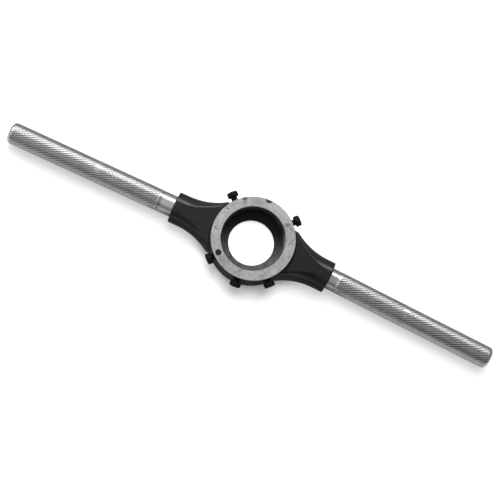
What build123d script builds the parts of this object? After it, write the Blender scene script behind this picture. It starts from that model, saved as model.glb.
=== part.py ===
from build123d import *
from math import cos, radians, sin, sqrt, tan
import os

# A die stock for round threading dies. Millimetres, +Z out of the pocket's mouth, +X from the left
# handle towards the right one. The origin is the centre of the seat that the die rests on, and the
# handles' centre lines lie in the seat's plane.

# The die and its pocket
die_diameter = 38.0
die_thickness = 14.0
pocket_play = 0.1
mouth_chamfer = 0.25

# The ring round the pocket
ring_wall = 6.0
draft_angle = 2.0
face_chamfer = 0.2
base_height = 9.0
base_rounding = 5.0

# The seat, with its passage for the work and the relief for chips below it
seat_width = 5.25
seat_thickness = 3.5
relief_width = 3.0

# The trumpet-shaped arms, cut flat above and below; each lies along its own handle
arm_reach = 50.6
boss_diameter = 19.2
boss_length = 6.0
flare_radius = 40.0
flare_diameter = 32.4
flare_rounding = 4.0
arm_flat_height = 9.3
flat_edge_rounding = 2.0
arm_root_rounding = 1.5
mouth_rounding = 0.6

# The handles: a spigot in the arm's socket, a plain neck and a knurled grip
overall_length = 315.0
grip_diameter = 13.2
grip_end_rounding = 2.6
neck_diameter = 13.0
left_neck_length = 9.9
right_neck_length = 6.4
shoulder_chamfer = 0.4
spigot_diameter = 10.0
spigot_length = 16.0
spigot_play = 0.1
spigot_chamfer = 1.0
socket_spare_depth = 2.0
left_lean = 0.0
right_lean = 2.2

# The radial screws, in line with the middle of the die's thickness, each backed out of the pocket
screw_diameter = 3.9
screw_play = 0.1
clamping_length = 7.2
left_holding_length = 9.0
right_holding_length = 8.65
tip_recess = 0.1
head_diameter = 6.6
head_height = 3.05
head_edge_chamfer = 0.4
rim_groove_count = 18
rim_groove_depth = 0.3
slot_width = 1.1
slot_depth = 1.3
spreader_slot_turn = 76.0
closing_slot_turn = 84.0
holding_slot_turn = 98.0
point_angle = 60.0
blunt_chamfer = 1.0

# Places of the screws round the pocket, in degrees from the +X axis
spreader_angle = 273.0
left_closing_angle = 228.0
right_closing_angle = 315.0
left_holding_angle = 137.5
right_holding_angle = 48.5

# Marks on the machined face
dimple_diameter = 3.7
dimple_angle = 227.0
dimple_inset = 2.85
notch_diameter = 4.4
notch_angle = 92.0
mark_depth = 0.4

# Sizes worked out from the ones above
pocket_radius = (die_diameter + pocket_play) / 2
face_radius = pocket_radius + ring_wall
draft_slope = tan(radians(draft_angle))
parting_radius = face_radius + die_thickness * draft_slope
base_radius = parting_radius - base_height * draft_slope
passage_radius = pocket_radius - seat_width
relief_radius = passage_radius + relief_width
boss_radius = boss_diameter / 2
flare_end_radius = flare_diameter / 2
flare_rise = flare_end_radius - boss_radius
flare_length = sqrt(flare_radius ** 2 - (flare_radius - flare_rise) ** 2)
grip_radius = grip_diameter / 2
grip_end = overall_length / 2 - arm_reach
neck_radius = neck_diameter / 2
spigot_radius = spigot_diameter / 2
screw_height = die_thickness / 2
screw_radius = screw_diameter / 2
head_radius = head_diameter / 2
tip_distance = pocket_radius + tip_recess
point_length = screw_radius / tan(radians(point_angle / 2))
drill_start = parting_radius + screw_diameter
slot_cut_length = head_diameter + slot_width
screw_angles = [
    spreader_angle,
    left_closing_angle,
    right_closing_angle,
    left_holding_angle,
    right_holding_angle,
]


def socket_mouth(side, lean):
    """Plane of a socket's mouth, facing out along the handle; side is +1 on the right, -1 on the left."""
    outward = (side * cos(radians(lean)), -sin(radians(lean)), 0)
    return Plane(origin=(side * arm_reach, 0, 0), x_dir=(0, 0, 1), z_dir=outward)


def turning_plane(mouth):
    """Level plane through a handle's centre line; its x runs out along the handle from the mouth."""
    return Plane(origin=mouth.origin, x_dir=mouth.z_dir, z_dir=(0, 0, 1))


def screw_line(angle, distance):
    """Plane across a screw's line, at a distance from the pocket's centre line."""
    outward = Vector(cos(radians(angle)), sin(radians(angle)), 0)
    return Plane(origin=outward * distance + Vector(0, 0, screw_height), x_dir=(0, 0, 1), z_dir=outward)


def round_the_face(distance, angle):
    """Point on the machined face, at a distance from the pocket's centre line."""
    return distance * cos(radians(angle)), distance * sin(radians(angle))


left_mouth = socket_mouth(-1, left_lean)
right_mouth = socket_mouth(1, right_lean)


def trumpet_arm(mouth):
    """An arm turned about its handle's centre line, from the mouth to mid-pocket, and cut flat above."""
    flare_corner = (-boss_length - flare_length, flare_end_radius)
    with BuildPart() as arm:
        with BuildSketch(turning_plane(mouth)):
            with BuildLine():
                flare = TangentArc((-boss_length, boss_radius), flare_corner, tangent=(-1, 0))
                Polyline(
                    flare @ 1,
                    (-arm_reach, flare_end_radius),
                    (-arm_reach, 0),
                    (0, 0),
                    (0, boss_radius),
                    flare @ 0,
                )
            make_face()
            fillet(vertices().sort_by_distance(flare_corner)[0], radius=flare_rounding)
        revolve(axis=Axis(mouth.origin, mouth.z_dir))
        split(bisect_by=Plane.XY.offset(arm_flat_height), keep=Keep.BOTTOM)
        flat_edges = faces().sort_by(Axis.Z)[-1].edges()
        end_edges = flat_edges.filter_by(Axis(mouth.origin, mouth.y_dir))
        fillet(flat_edges - end_edges, radius=flat_edge_rounding)
        mouth_face = faces().sort_by(Axis(mouth.origin, mouth.z_dir))[-1]
        fillet(mouth_face.edges(), radius=mouth_rounding)
    return arm.part


arms = [trumpet_arm(left_mouth), trumpet_arm(right_mouth)]

# The body: one casting, machined on the ring's face, in the pocket and in the holes
with BuildPart() as stock_body:
    add(arms)

    # The ring, drafted both ways from the plane of the handles and rounded below
    with BuildSketch(Plane.XZ):
        with BuildLine():
            Polyline(
                (0, -base_height),
                (base_radius, -base_height),
                (parting_radius, 0),
                (face_radius, die_thickness),
                (0, die_thickness),
                close=True,
            )
        make_face()
        base_corner = vertices().sort_by_distance((base_radius, -base_height))[0]
        fillet(base_corner, radius=base_rounding)
        face_corner = vertices().sort_by_distance((face_radius, die_thickness))[0]
        chamfer(face_corner, length=face_chamfer)
    revolve(axis=Axis.Z)
    arm_roots = edges(Select.NEW).filter_by(GeomType.LINE, reverse=True)
    fillet(arm_roots, radius=arm_root_rounding)

    # The underside of ring and arms is cut to one plane
    split(bisect_by=Plane.XY.offset(-base_height), keep=Keep.TOP)

    # The pocket, the seat's passage and the relief below it
    with BuildSketch(Plane.XZ):
        with BuildLine():
            Polyline(
                (0, -base_height),
                (relief_radius, -base_height),
                (passage_radius, -seat_thickness),
                (passage_radius, 0),
                (pocket_radius, 0),
                (pocket_radius, die_thickness - mouth_chamfer),
                (pocket_radius + mouth_chamfer, die_thickness),
                (0, die_thickness),
                close=True,
            )
        make_face()
    revolve(axis=Axis.Z, mode=Mode.SUBTRACT)

    # Sockets for the handles' spigots
    with Locations(left_mouth, right_mouth):
        Hole((spigot_diameter + spigot_play) / 2, depth=spigot_length + socket_spare_depth)

    # Holes for the five screws, from outside the wall into the pocket
    for angle in screw_angles:
        with Locations(screw_line(angle, drill_start)):
            Hole((screw_diameter + screw_play) / 2, depth=drill_start - passage_radius)

    # The dimple beside the left closing screw and the half-moon notch in the face's edge
    with BuildSketch(Plane.XY.offset(die_thickness)):
        with Locations(round_the_face(face_radius - dimple_inset, dimple_angle)):
            Circle(dimple_diameter / 2)
        with Locations(round_the_face(face_radius, notch_angle)):
            Circle(notch_diameter / 2)
    extrude(amount=-mark_depth, mode=Mode.SUBTRACT)


def screwed_handle(mouth, neck_length):
    """A handle turned from bar, with its shoulder seated on the mouth of its socket."""
    with BuildPart() as handle:
        with BuildSketch(turning_plane(mouth)):
            with BuildLine():
                Polyline(
                    (-spigot_length, 0),
                    (-spigot_length, spigot_radius - spigot_chamfer),
                    (-spigot_length + spigot_chamfer, spigot_radius),
                    (0, spigot_radius),
                    (0, neck_radius - shoulder_chamfer),
                    (shoulder_chamfer, neck_radius),
                    (neck_length, neck_radius),
                    (neck_length, grip_radius),
                    (grip_end, grip_radius),
                    (grip_end, 0),
                    close=True,
                )
            make_face()
            end_corner = vertices().sort_by_distance((grip_end, grip_radius))[0]
            fillet(end_corner, radius=grip_end_rounding)
        revolve(axis=Axis(mouth.origin, mouth.z_dir))
    return handle.part


def radial_screw(angle, length, pointed, slot_turn):
    """A slotted screw on its own line, backed out until its tip is clear of the pocket."""
    head_seat = tip_distance + length
    head_end = head_seat + head_height
    head_top = screw_line(angle, head_end)
    with BuildPart() as screw:
        with BuildSketch(Plane(origin=(0, 0, screw_height), x_dir=head_top.z_dir, z_dir=(0, 0, 1))):
            with BuildLine():
                if pointed:
                    tip = [(tip_distance, 0), (tip_distance + point_length, screw_radius)]
                else:
                    tip = [
                        (tip_distance, 0),
                        (tip_distance, screw_radius - blunt_chamfer),
                        (tip_distance + blunt_chamfer, screw_radius),
                    ]
                Polyline(
                    *tip,
                    (head_seat, screw_radius),
                    (head_seat, head_radius),
                    (head_end - head_edge_chamfer, head_radius),
                    (head_end, head_radius - head_edge_chamfer),
                    (head_end, 0),
                    close=True,
                )
            make_face()
        revolve(axis=Axis((0, 0, screw_height), head_top.z_dir))
        with BuildSketch(head_top):
            Rectangle(slot_cut_length, slot_width, rotation=slot_turn)
        extrude(amount=-slot_depth, mode=Mode.SUBTRACT)
        with BuildSketch(head_top):
            with PolarLocations(head_radius, rim_groove_count):
                RegularPolygon(rim_groove_depth, side_count=4)
        extrude(amount=-head_height, mode=Mode.SUBTRACT)
    return screw.part


pieces = {
    "stock_body": stock_body.part,
    "left_handle": screwed_handle(left_mouth, left_neck_length),
    "right_handle": screwed_handle(right_mouth, right_neck_length),
    "spreader_screw": radial_screw(spreader_angle, clamping_length, True, spreader_slot_turn),
    "left_closing_screw": radial_screw(left_closing_angle, clamping_length, False, closing_slot_turn),
    "right_closing_screw": radial_screw(right_closing_angle, clamping_length, False, closing_slot_turn),
    "left_holding_screw": radial_screw(left_holding_angle, left_holding_length, False, holding_slot_turn),
    "right_holding_screw": radial_screw(right_holding_angle, right_holding_length, False, holding_slot_turn),
}

os.makedirs("parts", exist_ok=True)
for name, piece in pieces.items():
    piece.label = name
    export_step(piece, f"parts/{name}.step")
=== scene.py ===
"""The looks of a die stock: a black cast ring on trumpet-shaped arms, two bright knurled handles and
five slotted screws. Shapes are worked out in millimetres and put into the frame in metres."""

import logging
import math
from dataclasses import dataclass
from enum import Enum
from functools import partial, reduce

import bpy
import numpy as np
from mathutils import Matrix, Vector


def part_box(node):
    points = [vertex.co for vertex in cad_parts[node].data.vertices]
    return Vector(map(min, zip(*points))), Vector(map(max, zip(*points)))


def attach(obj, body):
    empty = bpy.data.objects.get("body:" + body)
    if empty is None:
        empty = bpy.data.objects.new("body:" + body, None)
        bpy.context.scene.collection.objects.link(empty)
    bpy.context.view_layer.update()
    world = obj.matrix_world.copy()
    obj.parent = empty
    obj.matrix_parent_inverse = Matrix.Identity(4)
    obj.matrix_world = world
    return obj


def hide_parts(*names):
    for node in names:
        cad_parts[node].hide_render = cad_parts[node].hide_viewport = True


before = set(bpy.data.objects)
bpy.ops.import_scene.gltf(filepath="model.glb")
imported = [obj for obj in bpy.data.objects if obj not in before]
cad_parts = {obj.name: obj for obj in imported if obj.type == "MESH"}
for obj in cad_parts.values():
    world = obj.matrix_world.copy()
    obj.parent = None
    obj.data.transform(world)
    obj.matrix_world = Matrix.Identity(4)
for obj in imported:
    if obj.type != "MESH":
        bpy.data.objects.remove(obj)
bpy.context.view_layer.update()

MM = 0.001
log = logging.getLogger("die_stock")

Socket = bpy.types.NodeSocket
Colour = tuple[float, float, float]
# Where a mask starts to rise, and where it is full
Span = tuple[float, float]


class Tip(Enum):
    """How a radial screw ends inside the pocket's wall."""

    CONE = "cone"
    BLUNT = "blunt"


class Tree:
    """A node tree under construction: adds nodes, sets their plain values and links their sockets.

    Sockets that share a name, as the Mix node's do, are taken by their number.
    """

    def __init__(self, tree: bpy.types.NodeTree) -> None:
        """Takes the tree that the nodes go into."""
        self.tree = tree

    def add(self, kind: str, inputs: dict | None = None, **settings: object) -> bpy.types.Node:
        """Adds one node.

        Args:
            kind: the node's type name in Blender.
            inputs: for each input, by name or number, a plain value or the socket to link to it.
            settings: attributes of the node, such as operation.

        Returns:
            The new node.
        """
        node = self.tree.nodes.new(kind)
        for key, value in settings.items():
            setattr(node, key, value)
        for key, value in (inputs or {}).items():
            if isinstance(value, Socket):
                self.tree.links.new(value, node.inputs[key])
            else:
                node.inputs[key].default_value = value
        return node

    def math(self, operation: str, *values: object, clamp: bool = False) -> Socket:
        """Adds a Math node with its inputs in order, and returns its result, held in 0 to 1 if asked."""
        node = self.add("ShaderNodeMath", dict(enumerate(values)), operation=operation, use_clamp=clamp)
        return node.outputs[0]

    def product(self, *values: object) -> Socket:
        """Multiplies masks or numbers in their order, and returns the result."""
        return reduce(partial(self.math, "MULTIPLY"), values)

    def largest(self, *values: object) -> Socket:
        """Returns the largest of masks or numbers."""
        return reduce(partial(self.math, "MAXIMUM"), values)

    def vector(self, operation: str, *values: object) -> Socket:
        """Adds a Vector Math node with its inputs in order, and returns its vector or its number."""
        node = self.add("ShaderNodeVectorMath", dict(enumerate(values)), operation=operation)
        return node.outputs["Value" if operation in ("LENGTH", "DOT_PRODUCT") else "Vector"]

    def split(self, vector: Socket) -> dict[str, Socket]:
        """Takes a vector apart, and returns its parts by the names X, Y and Z."""
        return dict(self.add("ShaderNodeSeparateXYZ", {0: vector}).outputs.items())

    def turned(self, vector: Socket, angle: object) -> Socket:
        """Returns a vector turned about Z by an angle in radians."""
        node = self.add("ShaderNodeVectorRotate", {"Vector": vector, "Angle": angle}, rotation_type="Z_AXIS")
        return node.outputs[0]

    def mix(self, factor: object, first: Colour | Socket, second: Colour | Socket) -> Socket:
        """Mixes two colours.

        Args:
            factor: the share of the second colour, a number or a socket.
            first: the colour at factor 0.
            second: the colour at factor 1.

        Returns:
            The mixed colour.
        """
        first, second = ((*colour, 1) if isinstance(colour, tuple) else colour for colour in (first, second))
        node = self.add("ShaderNodeMix", {0: factor, 6: first, 7: second}, data_type="RGBA")
        return node.outputs[2]

    def blend(self, factor: object, first: object, second: object) -> Socket:
        """Mixes two numbers, and returns the first at factor 0 and the second at factor 1."""
        node = self.add("ShaderNodeMix", {0: factor, 2: first, 3: second}, data_type="FLOAT")
        return node.outputs[0]

    def step(self, value: Socket, low: float, high: float) -> Socket:
        """Returns a mask that rises smoothly from 0 where value is low to 1 where it is high."""
        ends = {0: value, 1: low, 2: high}
        return self.add("ShaderNodeMapRange", ends, interpolation_type="SMOOTHSTEP").outputs[0]

    def edge(self, length: Socket, span: Span, origin: float = 0.0) -> Socket:
        """Returns a mask over a span of lengths in millimetres, counted from an origin."""
        return self.step(length, (origin + span[0]) * MM, (origin + span[1]) * MM)

    def remap(self, value: Socket, *ends: object) -> Socket:
        """Carries a value from the range of two ends to that of two more, and holds it there."""
        return self.add("ShaderNodeMapRange", dict(enumerate((value, *ends)))).outputs[0]

    def noise(self, **inputs: object) -> dict[str, Socket]:
        """Adds a noise texture with its inputs by name, and returns its outputs by name."""
        return dict(self.add("ShaderNodeTexNoise", inputs).outputs.items())


class Group(Tree):
    """A shader node group under construction, with one number as its result."""

    def __init__(self, name: str, result: str, **inputs: str) -> None:
        """Starts the group.

        Args:
            name: the group's name.
            result: the name of its output.
            inputs: the kind of each input, Float or Vector, by the input's name.
        """
        super().__init__(bpy.data.node_groups.new(name, "ShaderNodeTree"))
        for socket, kind in inputs.items():
            self.tree.interface.new_socket(socket, in_out="INPUT", socket_type="NodeSocket" + kind)
        self.tree.interface.new_socket(result, in_out="OUTPUT", socket_type="NodeSocketFloat")
        self.given = self.add("NodeGroupInput").outputs

    def done(self, value: Socket) -> bpy.types.NodeTree:
        """Hands the result out, and returns the group."""
        self.add("NodeGroupOutput", {0: value})
        return self.tree


class SharedEffects:
    """The node groups that more than one finish uses, each built once."""

    CLOUD_NOISE = {"Detail": 5.0, "Roughness": 0.6}
    CLOUD_RANGE = (0.3, 0.7)
    HAIR_STRETCH = (0.06, 1.0, 1.0)
    HAIR_NOISE = {"Detail": 1.0, "Roughness": 0.5}
    HAIR_LEVEL = 0.5
    HAIR_PATCHES = {"Scale": 90.0, "Detail": 1.0}
    HAIR_PATCH_EDGE = (0.5, 0.62)
    RAGGED_NOISE = {"Scale": 900.0, "Detail": 3.0}
    NOISE_MIDDLE = (0.5, 0.5, 0.5)
    SMUDGE_EDGE = (1.3, 0.3)

    def __init__(self) -> None:
        """Builds the groups."""
        self.mottle = self._mottle()
        self.scratches = self._scratches()
        self.smudge = self._smudge()

    def _mottle(self) -> bpy.types.NodeTree:
        """Soft cloudy variation: fractal noise between two levels.

        Returns:
            The group; its Value runs from Low to High.
        """
        build = Group("mottle", "Value", Vector="Vector", Scale="Float", Low="Float", High="Float")
        given = build.given
        noise = build.noise(Vector=given["Vector"], Scale=given["Scale"], **self.CLOUD_NOISE)
        return build.done(build.remap(noise["Fac"], *self.CLOUD_RANGE, given["Low"], given["High"]))

    def _scratches(self) -> bpy.types.NodeTree:
        """Fine hairlines: the level lines of a noise that is drawn out along one direction.

        Returns:
            The group; its Mask is 1 on a hairline, 0 between them.
        """
        build = Group("scratches", "Mask", Vector="Vector", Scale="Float", Turn="Float", Width="Float")
        given = build.given
        turned = build.turned(given["Vector"], given["Turn"])
        drawn_out = build.add("ShaderNodeMapping", {"Vector": turned, "Scale": self.HAIR_STRETCH}).outputs[0]
        noise = build.noise(Vector=drawn_out, Scale=given["Scale"], **self.HAIR_NOISE)
        off_level = build.math("ABSOLUTE", build.math("SUBTRACT", noise["Fac"], self.HAIR_LEVEL))
        line = build.math("SUBTRACT", 1.0, build.math("DIVIDE", off_level, given["Width"]), clamp=True)
        patches = build.noise(Vector=given["Vector"], **self.HAIR_PATCHES)
        return build.done(build.product(line, build.step(patches["Fac"], *self.HAIR_PATCH_EDGE)))

    def _smudge(self) -> bpy.types.NodeTree:
        """One soft-edged mark: the inside of an ellipsoid whose edge is pushed about by noise.

        Returns:
            The group; its Mask is 1 in the middle of the mark and 0 outside it.
        """
        sizes = dict.fromkeys(("Vector", "Centre", "Size", "Ragged"), "Vector")
        build = Group("smudge", "Mask", Turn="Float", **sizes)
        given = build.given
        noise = build.noise(Vector=given["Vector"], **self.RAGGED_NOISE)
        centred = build.vector("SUBTRACT", noise["Color"], self.NOISE_MIDDLE)
        pushed = build.vector("MULTIPLY_ADD", centred, given["Ragged"], given["Vector"])
        away = build.turned(build.vector("SUBTRACT", pushed, given["Centre"]), given["Turn"])
        reach = build.vector("LENGTH", build.vector("DIVIDE", away, given["Size"]))
        return build.done(build.step(reach, *self.SMUDGE_EDGE))


@dataclass(frozen=True)
class Mottle:
    """Soft cloudy variation: its scale, and the two levels that it runs between."""

    scale: float
    low: float = 0.0
    high: float = 1.0


@dataclass(frozen=True)
class Hairlines:
    """Fine scratches: their scale, their turn in radians, and their width as a share of the noise."""

    scale: float
    turn: float
    width: float


class Surface(Tree):
    """A material under construction, in the frame's own coordinates."""

    def __init__(self, name: str, effects: SharedEffects | None = None) -> None:
        """Starts the material.

        Args:
            name: the material's name.
            effects: the shared groups, where it uses any.
        """
        self.material = bpy.data.materials.new(name)
        self.material.use_nodes = True
        self.material.node_tree.nodes.clear()
        super().__init__(self.material.node_tree)
        self.effects = effects
        self.place = self.add("ShaderNodeTexCoord").outputs["Object"]

    def group(self, group: bpy.types.NodeTree, **inputs: object) -> Socket:
        """Lays a shared group over the surface, with its inputs by name, and returns its result."""
        return self.add("ShaderNodeGroup", {"Vector": self.place, **inputs}, node_tree=group).outputs[0]

    def cloudy(self, mottle: Mottle) -> Socket:
        """Returns a soft variation over the surface."""
        return self.group(self.effects.mottle, Scale=mottle.scale, Low=mottle.low, High=mottle.high)

    def scratched(self, hairs: Hairlines) -> Socket:
        """Returns the mask of fine scratches over the surface."""
        return self.group(self.effects.scratches, Scale=hairs.scale, Turn=hairs.turn, Width=hairs.width)

    def level_place(self) -> Socket:
        """Returns each point's place with its height left out."""
        return self.vector("MULTIPLY", self.place, (1, 1, 0))

    def crest(self) -> Socket:
        """Returns the mesh's own crest attribute."""
        return self.add("ShaderNodeAttribute", attribute_name="crest").outputs["Fac"]

    def bump(self, height: Socket, strength: float, depth: float, invert: bool = False) -> Socket:
        """Turns a height of 0 to 1, so many millimetres deep, into relief, and returns the normal."""
        inputs = {"Strength": strength, "Distance": depth * MM, "Height": height}
        return self.add("ShaderNodeBump", inputs, invert=invert).outputs[0]

    def done(self, **inputs: object) -> bpy.types.Material:
        """Joins everything to a Principled shader.

        Args:
            inputs: the shader's inputs by name, with _ for each space.

        Returns:
            The material.
        """
        named = {key.replace("_", " "): value for key, value in inputs.items()}
        shader = self.add("ShaderNodeBsdfPrincipled", named)
        self.add("ShaderNodeOutputMaterial", {"Surface": shader.outputs["BSDF"]})
        return self.material


def direction(azimuth: float, elevation: float) -> tuple[float, float, float]:
    """Returns the unit vector (cos a cos e, sin a cos e, sin e) for azimuth a and elevation e in degrees."""
    a, e = math.radians(azimuth), math.radians(elevation)
    return math.cos(a) * math.cos(e), math.sin(a) * math.cos(e), math.sin(e)


@dataclass(frozen=True)
class Rise:
    """How a variation becomes a mask: where it starts, where it is full, and how strong it then is."""

    start: float
    full: float
    strength: float

    def mask(self, surface: Surface, value: Socket) -> Socket:
        """Returns the mask of a variation."""
        return surface.product(surface.step(value, self.start, self.full), self.strength)


@dataclass(frozen=True)
class PocketSide:
    """One side of the pocket: where it lies in degrees, and where its mask starts to rise and is full,
    toward that side, as shares of the pocket's radius."""

    azimuth: float
    start: float
    full: float

    def mask(self, surface: Surface, radius: float) -> Socket:
        """Returns a mask that is 1 on this side of a pocket of some radius and 0 on the other."""
        toward = surface.vector("DOT_PRODUCT", surface.place, direction(self.azimuth, 0.0))
        return surface.edge(toward, (self.start * radius, self.full * radius))


@dataclass(frozen=True)
class FaceMark:
    """A mark on the machined face: its place and half sizes in millimetres, its turn in degrees, and how
    strong it is in the middle. It goes a metre deep, as good as endlessly."""

    x: float
    y: float
    half_length: float
    half_width: float
    turn: float
    strength: float
    depth: float = 1.0

    def mask(self, surface: Surface, height: float, ragged: float) -> Socket:
        """Lays the mark over the face.

        Args:
            surface: the casting's material.
            height: the face's height.
            ragged: how far the edge is pushed about, as a share of the mark's width.

        Returns:
            The mark's mask.
        """
        push = ragged * self.half_width * 2 * MM
        spot = surface.group(
            surface.effects.smudge,
            Centre=(self.x * MM, self.y * MM, height * MM),
            Size=(self.half_length * MM, self.half_width * MM, self.depth),
            Turn=-math.radians(self.turn),
            Ragged=(push, push, 0.0),
        )
        return surface.product(spot, self.strength)


@dataclass(frozen=True)
class CastingZones:
    """The masks of the casting's surfaces: the bare face, the bored pocket down to its passage, all above
    the seat, the wall toward the mouth, the notch's floor, and the line where the arms' flats run into the
    ring, where the paint is left darkest as painted shade."""

    face: Socket
    pocket: Socket
    wall: Socket
    mouth: Socket
    notch: Socket
    root: Socket


@dataclass(frozen=True)
class CastingFinish:
    """Black paint on cast iron, with the ring's face machined bare and the pocket bored dark."""

    effects: SharedEffects
    face_height: float
    pocket_radius: float = 19.05
    passage_depth: float = 3.5
    arm_flat: float = 9.3
    bare_depth: float = 0.15
    mark_depth: float = 0.33
    notch_reach: float = 24.95

    paint: Colour = (0.0012, 0.0017, 0.0020)
    dusty_paint: Colour = (0.0045, 0.0053, 0.0058)
    sheen_tint: Colour = (0.93, 0.97, 1.0)
    iron: Colour = (0.570, 0.570, 0.567)
    stained_iron: Colour = (0.12, 0.12, 0.117)
    bright_iron: Colour = (0.73, 0.73, 0.726)
    seat_iron: Colour = (0.205, 0.213, 0.202)
    oiled_seat: Colour = (0.090, 0.096, 0.087)
    bored_iron: Colour = (0.260, 0.268, 0.260)
    upper_wall_iron: Colour = (0.24, 0.24, 0.236)
    # Painted highlight: the pocket's wall is made much lighter on one side, where it is lit
    lit_wall: Colour = (0.90, 0.92, 0.90)
    # Painted shade: the dark colour laid over the pocket's side toward the light, which its own wall shades
    shade_film: Colour = (0.008, 0.008, 0.008)
    dirty_iron: Colour = (0.085, 0.087, 0.087)

    # Spans in millimetres from the surface or the axis that each belongs to, and the mouth's as shares
    # of the face's height
    face_edge: Span = (0.0, 0.04)
    pocket_edge: Span = (0.12, 0.04)
    passage_edge: Span = (-0.05, 0.0)
    wall_edge: Span = (0.02, 0.08)
    mouth_edge: Span = (-0.1, 1.0)
    notch_floor: Span = (0.0, 0.08)
    notch_edge: Span = (0.0, -0.05)
    far_half: Span = (0.0, 1.0)
    root_edge: Span = (27.4, 26.0)
    root_low: Span = (-0.5, -0.1)
    root_high: Span = (2.2, 1.0)
    root_sides: Span = (17.0, 14.0)

    cloud: Mottle = Mottle(160.0)
    patch: Mottle = Mottle(420.0)
    broad: Mottle = Mottle(70.0)
    fleck: Mottle = Mottle(1000.0)
    grit: Mottle = Mottle(2600.0)
    orange_peel: Mottle = Mottle(650.0)
    paint_gloss: Mottle = Mottle(500.0, 0.18, 0.26)
    bored_gloss: Mottle = Mottle(600.0, 0.38, 0.52)
    iron_gloss: Mottle = Mottle(700.0, 0.36, 0.48)
    # Roughness in the crease where the arms' flats meet the ring, which dulls it along with the painted
    # shade there
    crease_gloss: float = 0.9
    hairlines: Hairlines = Hairlines(900.0, 0.6, 0.012)

    patch_stain: Rise = Rise(0.35, 1.1, 0.50)
    cloud_stain: Rise = Rise(0.5, 1.1, 0.32)
    fleck_stain: Rise = Rise(0.35, 1.15, 0.22)
    bright_places: Rise = Rise(0.3, 0.9, 0.35)
    hair_stain: float = 0.45
    # Painted highlight: the side of the pocket's wall that is made lighter
    lit_side: PocketSide = PocketSide(-12.0, 0.60, 0.80)
    # Painted shade over the pocket's side toward the light: where it rises on the seat and on the wall, how
    # dark it gets, and how much it thins toward the mouth
    shaded_seat_side: PocketSide = PocketSide(101.0, -0.75, 0.55)
    shaded_wall_side: PocketSide = PocketSide(100.0, 0.75, 1.0)
    shade_cover: float = 0.9
    mouth_lightening: float = 0.75

    peel_height: float = 0.7
    grit_height: float = 0.3
    machined_height: float = 0.35
    relief_strength: float = 0.4
    relief_depth: float = 0.05

    ragged: float = 0.4
    dark_marks: tuple[FaceMark, ...] = (
        FaceMark(-14.3, 19.5, 1.9, 1.5, 30.0, 0.95),
        FaceMark(-13.4, 17.4, 2.6, 1.6, -62.0, 0.32),
        FaceMark(-19.2, 13.2, 2.2, 1.2, 50.0, 0.22),
        FaceMark(-20.9, 9.9, 0.9, 0.6, 20.0, 0.90),
        FaceMark(-22.9, -3.6, 1.2, 0.34, -18.0, 0.95),
        FaceMark(-21.2, -3.7, 1.2, 0.32, 14.0, 0.85),
        FaceMark(-22.6, -9.0, 2.4, 0.9, -70.0, 0.25),
        FaceMark(2.7, 22.3, 2.2, 0.28, 92.0, 0.35),
        FaceMark(-6.6, 21.5, 6.0, 3.0, 14.0, 0.24),
        FaceMark(14.9, 15.7, 2.0, 1.4, 20.0, 0.75),
        FaceMark(17.7, 14.4, 2.2, 0.5, -36.0, 0.60),
        FaceMark(21.6, 8.4, 2.2, 0.7, 60.0, 0.25),
        FaceMark(0.8, -20.6, 2.2, 0.5, 46.0, 0.55),
        FaceMark(-1.5, -22.8, 2.2, 0.8, 30.0, 0.35),
        FaceMark(-9.8, -19.8, 5.0, 3.2, -25.0, 0.34),
        FaceMark(13.6, -18.0, 2.4, 0.8, 35.0, 0.28),
    )
    light_marks: tuple[FaceMark, ...] = (
        FaceMark(6.0, 21.6, 2.8, 2.2, 0.0, 0.10),
        FaceMark(21.4, 2.6, 4.2, 1.8, 80.0, 0.45),
        FaceMark(18.4, -13.0, 2.6, 1.8, 40.0, 0.60),
        FaceMark(-21.8, 3.2, 4.2, 1.8, 88.0, 0.50),
        FaceMark(-7.4, -20.8, 3.2, 1.6, -18.0, 0.25),
        FaceMark(4.8, -22.2, 1.8, 0.9, 45.0, 0.35),
    )

    def zones(self, surface: Surface) -> CastingZones:
        """Tells the casting's surfaces apart by where they lie.

        Args:
            surface: the casting's material.

        Returns:
            Their masks.
        """
        edge, product = surface.edge, surface.product
        parts = surface.split(surface.place)
        height, across = parts["Z"], surface.math("ABSOLUTE", parts["Y"])
        reach = surface.vector("LENGTH", surface.level_place())
        bare = self.face_height - self.bare_depth
        low, high = self.mouth_edge
        return CastingZones(
            face=edge(height, self.face_edge, bare),
            pocket=product(
                edge(reach, self.pocket_edge, self.pocket_radius),
                edge(height, self.passage_edge, -self.passage_depth),
            ),
            wall=edge(height, self.wall_edge),
            mouth=edge(height, (low * self.face_height, high * self.face_height)),
            notch=product(
                edge(height, self.notch_floor, bare - self.mark_depth),
                edge(reach, self.notch_edge, self.notch_reach),
                edge(parts["Y"], self.far_half),
            ),
            root=product(
                edge(height, self.root_low, self.arm_flat),
                edge(height, self.root_high, self.arm_flat),
                edge(across, self.root_sides),
                edge(reach, self.root_edge),
            ),
        )

    def marked(self, surface: Surface, marks: tuple[FaceMark, ...]) -> Socket:
        """Lays marks over the face, and returns their common mask."""
        return surface.largest(*(mark.mask(surface, self.face_height, self.ragged) for mark in marks))

    def iron_colour(self, surface: Surface, cloud: Socket, patch: Socket) -> Socket:
        """Mixes the bare face's colour: iron with stains, hairlines, bright places and its own marks.

        Args:
            surface: the casting's material.
            cloud: the wide variation.
            patch: the finer variation.

        Returns:
            The colour.
        """
        hair = surface.product(surface.scratched(self.hairlines), self.hair_stain)
        patch_stain = self.patch_stain.mask(surface, patch)
        cloud_stain = self.cloud_stain.mask(surface, cloud)
        fleck_stain = self.fleck_stain.mask(surface, surface.cloudy(self.fleck))
        stain = surface.math("ADD", surface.largest(patch_stain, cloud_stain, hair), fleck_stain)
        bright = self.bright_places.mask(surface, surface.cloudy(self.broad))
        colour = surface.mix(stain, self.iron, self.stained_iron)
        colour = surface.mix(bright, colour, self.bright_iron)
        colour = surface.mix(self.marked(surface, self.light_marks), colour, self.bright_iron)
        return surface.mix(self.marked(surface, self.dark_marks), colour, self.stained_iron)

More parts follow.
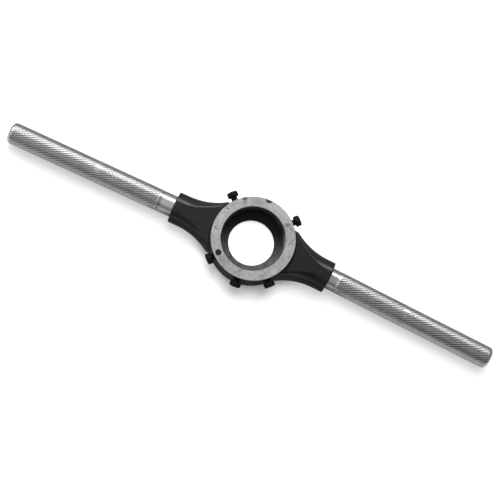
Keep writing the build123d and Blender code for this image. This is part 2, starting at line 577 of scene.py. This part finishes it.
    def bored_colour(self, surface: Surface, zones: CastingZones, patch: Socket) -> Socket:
        """Mixes the pocket's colour: a patchy seat, a wall with a painted highlight on one side, and painted
        shade over the side toward the light, which thins toward the mouth.

        Args:
            surface: the casting's material.
            zones: the casting's surfaces.
            patch: the seat's variation.

        Returns:
            The colour.
        """
        lit, shaded_seat, shaded_wall = (
            side.mask(surface, self.pocket_radius)
            for side in (self.lit_side, self.shaded_seat_side, self.shaded_wall_side)
        )
        seat = surface.mix(patch, self.seat_iron, self.oiled_seat)
        wall = surface.mix(zones.mouth, self.bored_iron, self.upper_wall_iron)
        # Painted highlight on one side of the wall
        bored = surface.mix(zones.wall, seat, surface.mix(lit, wall, self.lit_wall))
        # Painted shade: darker on the side toward the light, thinning toward the mouth
        shade_kept = surface.math("SUBTRACT", 1.0, surface.product(zones.mouth, self.mouth_lightening))
        shade_share = surface.product(surface.blend(zones.wall, shaded_seat, shaded_wall), shade_kept, self.shade_cover)
        return surface.mix(shade_share, bored, self.shade_film)

    def gloss(self, surface: Surface, zones: CastingZones) -> Socket:
        """Mixes the roughness of paint, grime, bore and bare iron.

        Args:
            surface: the casting's material.
            zones: the casting's surfaces.

        Returns:
            The roughness.
        """
        paint = surface.blend(zones.root, surface.cloudy(self.paint_gloss), self.crease_gloss)
        other = surface.blend(zones.pocket, paint, surface.cloudy(self.bored_gloss))
        bare = surface.largest(zones.face, zones.notch)
        return surface.blend(bare, other, surface.cloudy(self.iron_gloss))

    def relief(self, surface: Surface, zones: CastingZones, grit: Socket) -> Socket:
        """Makes the relief: orange peel and grit in the paint, and grit alone where the iron is machined.

        Args:
            surface: the casting's material.
            zones: the casting's surfaces.
            grit: the finest variation.

        Returns:
            The normal.
        """
        peel = surface.product(surface.cloudy(self.orange_peel), self.peel_height)
        painted = surface.math("ADD", peel, surface.product(grit, self.grit_height))
        machined = surface.product(grit, self.machined_height)
        height = surface.blend(surface.largest(zones.face, zones.pocket), painted, machined)
        return surface.bump(height, self.relief_strength, self.relief_depth)

    def material(self) -> bpy.types.Material:
        """Builds the finish.

        Returns:
            The casting's material.
        """
        surface = Surface("painted_casting", self.effects)
        zones = self.zones(surface)
        cloud, patch, grit = map(surface.cloudy, (self.cloud, self.patch, self.grit))
        # Dust lightens the paint everywhere but in the crease where the arms' flats meet the ring, which
        # stays darkest as painted shade
        dust_and_crease_shade = surface.product(cloud, grit, surface.math("SUBTRACT", 1.0, zones.root))
        paint = surface.mix(dust_and_crease_shade, self.paint, self.dusty_paint)
        outside = surface.mix(zones.notch, paint, self.dirty_iron)
        colour = surface.mix(zones.pocket, outside, self.bored_colour(surface, zones, patch))
        return surface.done(
            Base_Color=surface.mix(zones.face, colour, self.iron_colour(surface, cloud, patch)),
            Metallic=surface.largest(zones.face, zones.pocket, zones.notch),
            Specular_Tint=(*self.sheen_tint, 1),
            Roughness=self.gloss(surface, zones),
            Normal=self.relief(surface, zones, grit),
        )


@dataclass(frozen=True)
class PlatedSteelFinish:
    """Bright plated steel, darkened in the grooves of the knurl by painted shade with some dirt."""

    effects: SharedEffects
    steel: Colour = (0.60, 0.605, 0.61)
    # Painted shade with some dirt: the dark colour of the knurl's grooves
    groove: Colour = (0.02, 0.02, 0.021)
    unshaded_crest: Span = (0.0, 0.7)
    cloud: Mottle = Mottle(220.0, 0.0, 0.15)
    gloss: Mottle = Mottle(600.0, 0.14, 0.24)
    hairlines: Hairlines = Hairlines(2000.0, 1.4, 0.02)
    hair_strength: float = 0.2
    hair_depth: float = 0.02

    def material(self) -> bpy.types.Material:
        """Builds the finish.

        Returns:
            The handles' material; it reads the mesh's own crest attribute, 0 in a groove and 1 on a crest.
        """
        surface = Surface("plated_steel", self.effects)
        # Darker in the grooves of the knurl: painted shade with some dirt
        unshaded = surface.step(surface.crest(), *self.unshaded_crest)
        shade = surface.math("SUBTRACT", unshaded, surface.cloudy(self.cloud), clamp=True)
        hair = surface.scratched(self.hairlines)
        return surface.done(
            Base_Color=surface.mix(shade, self.groove, self.steel),
            Metallic=1.0,
            Roughness=surface.cloudy(self.gloss),
            Normal=surface.bump(hair, self.hair_strength, self.hair_depth, invert=True),
        )


@dataclass(frozen=True)
class BlackOxideFinish:
    """Black oxide on steel, rubbed a little brighter on edges and crests."""

    effects: SharedEffects
    oxide: Colour = (0.0020, 0.0020, 0.0022)
    rubbed: Colour = (0.012, 0.012, 0.0125)
    rubbed_crest: Span = (0.6, 1.0)
    cloud: Mottle = Mottle(700.0, 0.1, 0.7)
    gloss: Mottle = Mottle(900.0, 0.34, 0.5)
    reflectance: float = 0.12

    def material(self) -> bpy.types.Material:
        """Builds the finish.

        Returns:
            The screws' material; it reads the mesh's own crest attribute, 1 on edges and crests.
        """
        surface = Surface("black_oxide", self.effects)
        rub = surface.product(surface.step(surface.crest(), *self.rubbed_crest), surface.cloudy(self.cloud))
        return surface.done(
            Base_Color=surface.mix(rub, self.oxide, self.rubbed),
            Specular_IOR_Level=self.reflectance,
            Roughness=surface.cloudy(self.gloss),
        )


def placed(name: str, data: bpy.types.ID) -> bpy.types.Object:
    """Puts data into the scene as a new object at the origin.

    Args:
        name: the object's name.
        data: a mesh, a light or a camera.

    Returns:
        The object.
    """
    thing = bpy.data.objects.new(name, data)
    bpy.context.scene.collection.objects.link(thing)
    return thing


def staggered_turns(rings: int, columns: int, first: int = 0) -> np.ndarray:
    """Returns the shares of a full turn at the points of rings, every other one staggered by half a step."""
    stagger = ((first + np.arange(rings)) % 2)[:, None] / 2
    return (np.arange(columns)[None, :] + stagger) / columns


def turned_mesh(
    name: str,
    start: np.ndarray,
    along: np.ndarray,
    rows: np.ndarray,
    radii: np.ndarray,
    crest: np.ndarray,
    sharp_angle: float = 32.0,
) -> bpy.types.Object:
    """Makes a closed, smooth surface round an axis, from rings of points staggered by half a step.

    Point i of ring j lies at start + along * rows[j] + radii[j, i] * (u cos t + v sin t), where
    t = 2 pi (i + (j mod 2) / 2) / columns, and u, v, along are a right-handed set. Triangles join each
    ring to the next, and a fan closes each end at the axis.

    Args:
        name: the new object's name.
        start: a point on the axis, in millimetres.
        along: the axis' unit direction.
        rows: where each ring lies along the axis, in millimetres.
        radii: the radius of each point, one row for each ring.
        crest: the value of each point's crest attribute, shaped as radii.
        sharp_angle: edges that turn by more than this many degrees stay sharp.

    Returns:
        The new object, at the origin.
    """
    count, columns = radii.shape
    side = np.cross((0.0, 0.0, 1.0), along)
    side /= np.linalg.norm(side)
    up = np.cross(along, side)
    turn = 2 * np.pi * staggered_turns(count, columns)
    rings = (
        start
        + rows[:, None, None] * along
        + radii[:, :, None] * (np.cos(turn)[:, :, None] * side + np.sin(turn)[:, :, None] * up)
    )
    ends = np.stack([start + rows[0] * along, start + rows[-1] * along])
    points = np.concatenate([rings.reshape(-1, 3), ends]) * MM
    index = np.arange(count * columns).reshape(count, columns)
    after = np.roll(index, -1, axis=1)
    even = (np.arange(count - 1) % 2 == 0)[:, None, None]
    here, here_next, above, above_next = index[:-1], after[:-1], index[1:], after[1:]
    first = np.where(
        even, np.stack([here, here_next, above], -1), np.stack([here, above_next, above], -1)
    )
    second = np.where(
        even, np.stack([above, here_next, above_next], -1), np.stack([here, here_next, above_next], -1)
    )
    low_pole = np.full(columns, count * columns)
    fans = np.concatenate([
        np.stack([low_pole, after[0], index[0]], -1),
        np.stack([low_pole + 1, index[-1], after[-1]], -1),
    ])
    triangles = np.concatenate([first.reshape(-1, 3), second.reshape(-1, 3), fans])
    values = np.concatenate([crest.ravel(), crest[0, :1], crest[-1, :1]]).astype(np.float32)
    mesh = bpy.data.meshes.new(name)
    mesh.from_pydata(points.tolist(), [], triangles.tolist())
    mesh.polygons.foreach_set("use_smooth", np.ones(len(triangles), bool))
    mesh.attributes.new("crest", "FLOAT", "POINT").data.foreach_set("value", values)
    mesh.set_sharp_from_angle(angle=math.radians(sharp_angle))
    mesh.validate()
    return placed(name, mesh)


@dataclass
class StockBody:
    """The casting: the frame's own solid, dressed in paint and bare machined iron."""

    finish: CastingFinish
    node: str = "stock_body"

    def dress(self) -> bpy.types.Object:
        """Gives the solid its finish.

        Returns:
            The solid's object.
        """
        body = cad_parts[self.node]
        body.data.materials.clear()
        body.data.materials.append(self.finish.material())
        return body


@dataclass
class KnurledHandle:
    """A turned handle: a spigot in the arm's socket, a plain neck and a rolled diamond knurl."""

    node: str
    side: int
    lean: float
    knurl_start: float
    family_depths: tuple[float, float]
    seam_turn: float
    finish: bpy.types.Material
    mouth: float = 50.6
    spigot_radius: float = 5.0
    spigot_length: float = 16.0
    spigot_chamfer: float = 1.0
    shoulder_chamfer: float = 0.4
    neck_radius: float = 6.5
    neck_rings: int = 5
    grip_radius: float = 6.6
    end_rounding: float = 2.6
    end_rings: int = 12
    half_length: float = 157.5
    diamonds_round: int = 28
    diamond_length: float = 2.85
    diamond_steps: int = 6
    groove_depth: float = 0.12
    groove_share: float = 0.60
    fade: float = 0.9
    fade_rings: int = 3
    pass_end: float = 50.0
    pass_shift: float = 0.25
    seam_length: float = 1.5
    seam_width: float = 0.075

    def crests(self, along: np.ndarray, columns: int) -> np.ndarray:
        """Works out the knurl's relief: two families of V grooves that cross at the helix angle.

        With N diamonds round the grip, each L long, the two groove counts at a share t of the turn and a
        length s along the axis are N t + s / L and N t - s / L. The distance to the nearest groove is
        d = |2 frac - 1|, where frac is the count's own fraction. Each family is cut
        1 - min(1, d / groove_share) deep, times its own share of the depth, and the deeper of the two cuts
        counts. Where the knurl's two passes meet, a spot on the upper side stays nearly plain.

        Args:
            along: where each ring lies along the axis.
            columns: the number of points round a ring.

        Returns:
            0 in a groove and 1 on a crest, for each point of each ring.
        """
        turn = staggered_turns(len(along), columns)
        shift = np.where(along > self.pass_end, self.pass_shift, 0.0)[:, None]
        count_round = self.diamonds_round * turn
        count_along = along[:, None] / self.diamond_length
        families = [count_round + count_along + shift, count_round - count_along + shift]
        gaps = [np.abs(2 * (family % 1.0) - 1) for family in families]
        cuts = [
            share * (1 - np.minimum(1.0, gap / self.groove_share))
            for gap, share in zip(gaps, self.family_depths)
        ]
        off_seam = ((along[:, None] - self.pass_end) / self.seam_length) ** 2
        off_side = ((turn - self.seam_turn) / self.seam_width) ** 2
        return 1 - np.maximum(*cuts) * (1 - np.exp(-off_seam - off_side))

    def profile(self) -> tuple[np.ndarray, np.ndarray, np.ndarray]:
        """Works out the turned outline from the spigot's end to the handle's end.

        Returns:
            For each ring its place along the axis, its radius, and its share of the knurl's depth.
        """
        grip_end = self.half_length - self.mouth
        step = self.diamond_length / (2 * self.diamond_steps)
        knurl = np.arange(self.knurl_start, grip_end - self.end_rounding, step)
        swing = np.linspace(0, np.pi / 2, self.end_rings + 1)[1:]
        round_along = grip_end - self.end_rounding + self.end_rounding * np.sin(swing)
        round_radius = self.grip_radius - self.end_rounding + self.end_rounding * np.cos(swing)
        inside = np.array([-self.spigot_length, -self.spigot_length + self.spigot_chamfer, 0, 0])
        inside_radius = np.array([
            self.spigot_radius - self.spigot_chamfer,
            self.spigot_radius,
            self.spigot_radius,
            self.neck_radius - self.shoulder_chamfer,
        ])
        neck = np.linspace(self.shoulder_chamfer, self.knurl_start - step, self.neck_rings)
        along = np.concatenate([inside, neck, knurl, round_along])
        radius = np.concatenate([
            inside_radius,
            np.full(len(neck), self.neck_radius),
            np.full(len(knurl), self.grip_radius),
            round_radius,
        ])
        rise = np.clip((knurl - self.knurl_start) / self.fade, 0, 1)
        fall = np.clip(1 - np.arange(len(swing)) / self.fade_rings, 0, 1)
        share = np.concatenate([np.zeros(len(inside) + len(neck)), rise, fall])
        return along, radius, share

    def build(self) -> bpy.types.Object:
        """Makes the handle and puts it in its node's place.

        Returns:
            The handle, riding on the stock.
        """
        along, radius, share = self.profile()
        columns = self.diamonds_round * self.diamond_steps
        cut = share[:, None] * (1 - self.crests(along, columns))
        lean = math.radians(self.lean)
        handle = turned_mesh(
            self.node + "_knurled",
            np.array([self.side * self.mouth, 0.0, 0.0]),
            np.array([self.side * math.cos(lean), -math.sin(lean), 0.0]),
            along,
            radius[:, None] - self.groove_depth * cut,
            1 - cut,
        )
        handle.data.materials.append(self.finish)
        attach(handle, "stock")
        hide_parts(self.node)
        return handle


@dataclass
class RadialScrew:
    """A slotted screw with a knurled head, a cut thread and a cone or blunt tip."""

    node: str
    angle: float
    length: float
    tip: Tip
    slot_turn: float
    finish: bpy.types.Material
    height: float = 7.0
    tip_distance: float = 19.15
    thread_radius: float = 1.95
    thread_depth: float = 0.32
    thread_width: float = 1.25
    pitch: float = 0.7
    rings_per_pitch: int = 12
    head_radius: float = 3.3
    head_height: float = 3.05
    edge_chamfer: float = 0.4
    grooves: int = 18
    groove_depth: float = 0.3
    groove_share: float = 0.52
    rim_shares: tuple[float, ...] = (0.0, 0.3, 1.0, 1.0, 0.3)
    slot_width: float = 1.1
    slot_depth: float = 1.3
    slot_overrun: float = 0.5
    cone_angle: float = 60.0
    point_radius: float = 0.02
    blunt_chamfer: float = 1.0
    columns: int = 144

    def tip_radius(self, from_tip: np.ndarray) -> np.ndarray:
        """Works out the tip's cone: its radius grows evenly to the thread's over the tip's length.

        Args:
            from_tip: distances from the screw's end.

        Returns:
            The radius at each distance.
        """
        start, length = self.thread_radius - self.blunt_chamfer, self.blunt_chamfer
        if self.tip is Tip.CONE:
            start = self.point_radius
            length = self.thread_radius / math.tan(math.radians(self.cone_angle / 2))
        return start + (self.thread_radius - start) * from_tip / length

    def shank(self) -> tuple[np.ndarray, np.ndarray, np.ndarray]:
        """Works out the threaded shank, from the tip to the head.

        At a distance s along the axis and a share t of the turn, p is the fraction of s / pitch - t. The
        thread is cut thread_width - |4 p - 2| deep, held between 0 and 1, as a share of its depth.

        Returns:
            Where each ring lies along the axis, each point's radius, and its crest value.
        """
        seat = self.tip_distance + self.length
        along = np.arange(self.tip_distance, seat, self.pitch / self.rings_per_pitch)
        envelope = np.minimum(self.thread_radius, self.tip_radius(along - self.tip_distance))
        phase = (along[:, None] / self.pitch - staggered_turns(len(along), self.columns)) % 1.0
        groove = np.clip(self.thread_width - np.abs(4 * phase - 2), 0, 1)
        radii = np.minimum(envelope[:, None], self.thread_radius - self.thread_depth * groove)
        return along, radii, 1 - groove

    def head(self, first: int) -> tuple[np.ndarray, np.ndarray, np.ndarray]:
        """Works out the head, whose rim is cut by V grooves along the axis.

        Args:
            first: the number of the head's first ring.

        Returns:
            Where each ring lies along the axis, each point's radius, and its crest value.
        """
        along = self.tip_distance + self.length + np.array([
            0, 0, self.edge_chamfer / 2, self.head_height - self.edge_chamfer, self.head_height,
        ])
        radius = np.array([
            self.thread_radius,
            self.head_radius - self.edge_chamfer / 2,
            self.head_radius,
            self.head_radius,
            self.head_radius - self.edge_chamfer,
        ])
        rim = np.array(self.rim_shares)[:, None]
        turn = staggered_turns(len(rim), self.columns, first)
        ridge = np.minimum(1, np.abs(2 * (self.grooves * turn % 1.0) - 1) / self.groove_share)
        return along, radius[:, None] - self.groove_depth * rim * (1 - ridge), rim * ridge

    def build(self) -> bpy.types.Object:
        """Makes the screw and puts it in its node's place.

        Returns:
            The screw, riding on its own body.
        """
        shank = self.shank()
        along, radii, crest = (np.concatenate(both) for both in zip(shank, self.head(len(shank[0]))))
        outward = np.array([math.cos(math.radians(self.angle)), math.sin(math.radians(self.angle)), 0.0])
        centre = np.array([0.0, 0.0, self.height])
        screw = turned_mesh(self.node + "_threaded", centre, outward, along, radii, crest)
        self.cut_slot(screw, outward, self.tip_distance + self.length + self.head_height)
        screw.data.materials.append(self.finish)
        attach(screw, self.node)
        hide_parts(self.node)
        return screw

    def cut_slot(self, screw: bpy.types.Object, outward: np.ndarray, top: float) -> None:
        """Cuts the driver's slot across the head.

        Args:
            screw: the screw without its slot.
            outward: the screw's direction.
            top: distance of the head's top from the pocket's centre line.
        """
        axis = Vector(outward)
        long_way = Matrix.Rotation(math.radians(self.slot_turn), 3, axis) @ Vector((0, 0, 1))
        half_length = long_way * (self.head_radius + self.slot_overrun)
        half_width = axis.cross(long_way) * (self.slot_width / 2)
        depth = axis * self.slot_depth
        centre = Vector((0, 0, self.height)) + axis * top
        corners = [
            (centre + half_length * x + half_width * y + depth * z) * MM
            for x in (-1, 1) for y in (-1, 1) for z in (-1, 1)
        ]
        sides = [(0, 1, 3, 2), (4, 6, 7, 5), (0, 4, 5, 1), (2, 3, 7, 6), (0, 2, 6, 4), (1, 5, 7, 3)]
        mesh = bpy.data.meshes.new("slot_cutter")
        mesh.from_pydata(corners, [], sides)
        cutter = placed("slot_cutter", mesh)
        cut = screw.modifiers.new("slot", "BOOLEAN")
        cut.operation = "DIFFERENCE"
        cut.solver = "EXACT"
        cut.object = cutter
        bpy.context.view_layer.update()
        evaluated = screw.evaluated_get(bpy.context.evaluated_depsgraph_get())
        screw.data = bpy.data.meshes.new_from_object(evaluated)
        screw.modifiers.clear()
        bpy.data.objects.remove(cutter)


@dataclass(frozen=True)
class PhotoCamera:
    """A camera above the tool, leaning back a little and turned about its own line of sight."""

    lens: float = 90.0
    sensor: float = 36.0
    nearest: float = 10.0
    distance: float = 743.1
    aim: tuple[float, float, float] = (1.1, -4.5, 0.0)
    tilt: float = 10.74
    swing: float = -1.53
    roll: float = 24.62

    def build(self) -> bpy.types.Object:
        """Places the camera and makes it the scene's own.

        Returns:
            The camera.
        """
        tilt, swing, roll = (math.radians(angle) for angle in (self.tilt, self.swing, self.roll))
        back = Vector((math.sin(swing) * math.sin(tilt), -math.cos(swing) * math.sin(tilt), math.cos(tilt)))
        level = Vector((0, 1, 0)).cross(back).normalized()
        rise = back.cross(level)
        right = level * math.cos(roll) + rise * math.sin(roll)
        up = rise * math.cos(roll) - level * math.sin(roll)
        data = bpy.data.cameras.new("photo_camera")
        data.lens = self.lens
        data.sensor_width = self.sensor
        data.clip_start = self.nearest * MM
        camera = placed("photo_camera", data)
        turn = Matrix((right, up, back)).transposed().to_4x4()
        camera.matrix_world = Matrix.Translation((Vector(self.aim) + back * self.distance) * MM) @ turn
        bpy.context.scene.camera = camera
        return camera


@dataclass(frozen=True)
class Softbox:
    """A rectangular studio light that faces the tool: its sizes are in metres and its power in watts."""

    name: str
    azimuth: float
    elevation: float
    distance: float
    width: float
    depth: float
    power: float
    reflected: bool = True

    def build(self) -> bpy.types.Object:
        """Places the light, looking at the origin.

        Returns:
            The light.
        """
        data = bpy.data.lights.new(self.name, "AREA")
        data.shape = "RECTANGLE"
        data.size = self.width
        data.size_y = self.depth
        data.energy = self.power
        light = placed(self.name, data)
        toward = Vector(direction(self.azimuth, self.elevation))
        across = Vector(direction(self.azimuth + 90.0, 0.0))
        turn = Matrix((across, toward.cross(across), toward)).transposed().to_4x4()
        light.matrix_world = Matrix.Translation(toward * self.distance) @ turn
        light.visible_glossy = self.reflected
        return light


@dataclass(frozen=True)
class Studio:
    """A white table under soft light from the far side, in a room that is dim overhead.

    The table's mirrored levels are its greys in reflections: far and near of the tool, and close beside
    the ring. What is seen of it by the ring and by the handles is a grey and a glow.
    """

    underside: float
    table_gap: float = 0.02
    table_size: float = 6.0
    table_grey: float = 0.80
    mirrored_far: float = 0.26
    mirrored_near: float = 0.47
    mirrored_close: float = 0.14
    # Painted light: the table glows more where the handles are than by the ring, and most in the ring's
    # hole, which pales the shadows there
    seen_ring: tuple[float, float] = (0.93, 0.11)
    seen_handles: tuple[float, float] = (0.42, 0.50)
    hole_glow: float = 0.75

    # Spans in millimetres
    beyond_edge: Span = (-10.0, 10.0)
    close_edge: Span = (70.0, 52.0)
    ring_edge: Span = (42.0, 18.0)
    hole_edge: Span = (17.5, 15.0)

    bright_azimuth: float = 114.4
    bright_elevation: float = 30.0
    side_reach: float = 0.11
    left_gain: float = 1.5
    right_gain: float = 0.72
    room: tuple[tuple[float, float], ...] = (
        (-1.00, 0.80),
        (-0.87, 0.95),
        (-0.76, 0.62),
        (-0.64, 0.28),
        (-0.40, 0.18),
        (-0.20, 0.28),
        (0.00, 0.41),
        (0.20, 0.52),
        (0.50, 0.52),
        (1.00, 0.40),
    )
    lights: tuple[Softbox, ...] = (
        Softbox("far_softbox", 114.4, 42.0, 1.2, 2.4, 0.8, 9.0),
        Softbox("strip_light", 119.0, 40.0, 1.2, 1.8, 0.20, 3.8),
        Softbox("overhead_softbox", 100.0, 72.0, 1.3, 0.8, 0.8, 18.0, reflected=False),
    )

    def build(self) -> None:
        """Builds the table, the lights and the room."""
        size = self.table_size / 2
        height = self.underside - self.table_gap * MM
        mesh = bpy.data.meshes.new("table_top")
        corners = [(-size, -size), (size, -size), (size, size), (-size, size)]
        mesh.from_pydata([(x, y, height) for x, y in corners], [], [(0, 1, 2, 3)])
        floor = placed("table_top", mesh)
        mesh.materials.append(self.table_material())
        for light in self.lights:
            light.build()
        self.world()
        bpy.context.scene.view_settings.view_transform = "Standard"

    def table_material(self) -> bpy.types.Material:
        """Builds the table's material: whiter to the eye than its light is, and darker in reflections.

        Returns:
            The material.
        """
        surface = Surface("white_table")
        rays = surface.add("ShaderNodeLightPath").outputs
        seen = surface.largest(rays["Is Camera Ray"], rays["Is Transmission Ray"])
        flat = surface.level_place()
        parts = surface.split(flat)
        aside = surface.math("ABSOLUTE", parts["X"])
        ring = surface.edge(aside, self.ring_edge)
        # Painted light: more glow beside the handles and in the ring's hole lifts their shadows
        grey, glow = (surface.blend(ring, *levels) for levels in zip(self.seen_handles, self.seen_ring))
        hole = surface.edge(surface.vector("LENGTH", flat), self.hole_edge)
        beyond, close = surface.edge(parts["Y"], self.beyond_edge), surface.edge(aside, self.close_edge)
        mirrored = surface.blend(beyond, self.mirrored_near, self.mirrored_far)
        mirrored = surface.blend(close, mirrored, self.mirrored_close)
        level = surface.blend(rays["Is Glossy Ray"], surface.blend(seen, self.table_grey, grey), mirrored)
        return surface.done(
            Base_Color=surface.mix(level, (0.0, 0.0, 0.0), (1.0, 1.0, 1.0)),
            Emission_Color=(1, 1, 1, 1),
            Emission_Strength=surface.product(seen, surface.blend(hole, glow, self.hole_glow)),
            Roughness=1.0,
            Specular_IOR_Level=0.0,
        )

    def world(self) -> None:
        """Builds the room: white behind the table, and in its light brighter overhead, low and on the left.

        The room's levels follow the cosine of the angle from its bright side, from -1 to 1.
        """
        world = bpy.data.worlds.new("room")
        world.use_nodes = True
        world.node_tree.nodes.clear()
        build = Tree(world.node_tree)
        way = build.add("ShaderNodeTexCoord").outputs["Generated"]
        bright_side = direction(self.bright_azimuth, self.bright_elevation)
        spread = build.remap(build.vector("DOT_PRODUCT", way, bright_side), -1.0, 1.0, 0.0, 1.0)
        ramp = build.add("ShaderNodeValToRGB", {0: spread})
        stops = ramp.color_ramp.elements
        for _ in range(len(self.room) - len(stops)):
            stops.new(1.0)
        for stop, (cosine, level) in zip(stops, self.room):
            stop.position = (cosine + 1) / 2
            stop.color = (level, level, level, 1)
        sideways = build.split(way)["X"]
        gain = build.remap(sideways, -self.side_reach, self.side_reach, self.left_gain, self.right_gain)
        seen = build.add("ShaderNodeLightPath").outputs["Is Camera Ray"]
        strength = build.blend(seen, build.product(ramp.outputs["Color"], gain), 1.0)
        background = build.add("ShaderNodeBackground", {"Color": (1, 1, 1, 1), "Strength": strength})
        build.add("ShaderNodeOutputWorld", {"Surface": background.outputs[0]})
        bpy.context.scene.world = world


def main() -> None:
    """Builds and dresses every piece in order, then the studio round it."""
    effects = SharedEffects()
    low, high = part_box("stock_body")
    body = StockBody(CastingFinish(effects, face_height=high.z / MM)).dress()
    log.info("dressed %s", body.name)
    steel = PlatedSteelFinish(effects).material()
    for name, side, lean, knurl_start, family_depths, seam_turn in (
        ("left_handle", -1, 0.0, 9.9, (1.0, 1.0), 0.31),
        ("right_handle", 1, 2.2, 6.4, (1.0, 0.8), 0.19),
    ):
        piece = KnurledHandle(name, side, lean, knurl_start, family_depths, seam_turn, steel).build()
        log.info("built %s with %d triangles", piece.name, len(piece.data.polygons))
    oxide = BlackOxideFinish(effects).material()
    for name, angle, length, tip, slot_turn in (
        ("spreader_screw", 273.0, 7.2, Tip.CONE, 76.0),
        ("left_closing_screw", 228.0, 7.2, Tip.BLUNT, 84.0),
        ("right_closing_screw", 315.0, 7.2, Tip.BLUNT, 84.0),
        ("left_holding_screw", 137.5, 9.0, Tip.BLUNT, 98.0),
        ("right_holding_screw", 48.5, 8.65, Tip.BLUNT, 98.0),
    ):
        piece = RadialScrew(name, angle, length, tip, slot_turn, oxide).build()
        log.info("built %s with %d faces", piece.name, len(piece.data.polygons))
    Studio(underside=low.z).build()
    PhotoCamera().build()


if __name__ == "__main__":
    logging.basicConfig(level=logging.INFO, format="%(message)s")
    main()
